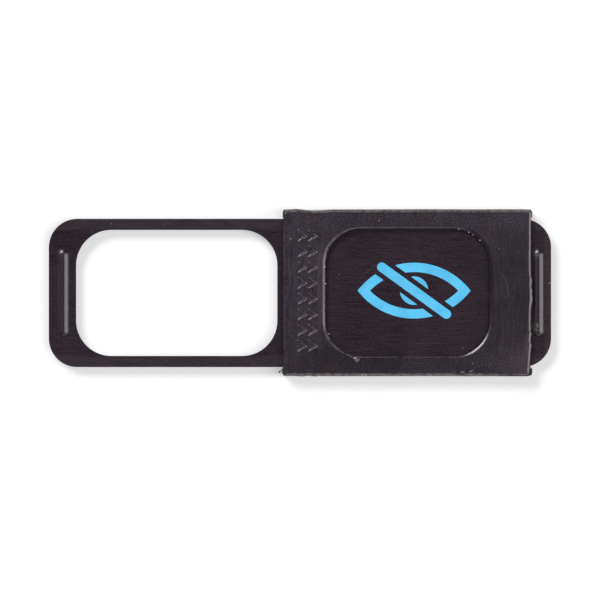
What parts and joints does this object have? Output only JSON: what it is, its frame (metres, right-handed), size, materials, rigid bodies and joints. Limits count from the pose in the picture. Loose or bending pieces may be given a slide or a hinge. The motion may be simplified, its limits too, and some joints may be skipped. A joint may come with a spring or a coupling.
{
  "type": "webcam cover slider",
  "caption": "Flat sliding privacy shutter for a laptop camera: a stamped plate with a port and finger beads slides through a moulded stick-on sleeve with a window.",
  "frame": {"origin": "centre of the sleeve's window, on the adhesive face that sticks to the laptop", "axes": "+X along the slide towards the blind end, +Y across it, +Z out of the laptop's bezel"},
  "size_m": [0.0441, 0.0146, 0.0015],
  "materials": {
    "sleeve_plastic": "satin black moulded plastic with fine streaks and worn edges",
    "shutter_metal": "black anodised, with a fine grain brushed along the slide",
    "adhesive": "black foam tape with a tacky skin"
  },
  "bodies": {
    "sleeve_body": {"sleeve": "sleeve_plastic", "adhesive_frame": "adhesive"},
    "shutter_body": {"shutter": "shutter_metal"}
  },
  "joints": [
    {"name": "shutter_slide", "type": "slide", "parent": "sleeve_body", "child": "shutter_body", "axis": [1, 0, 0], "range_m": [0, 0.01868]}
  ]
}
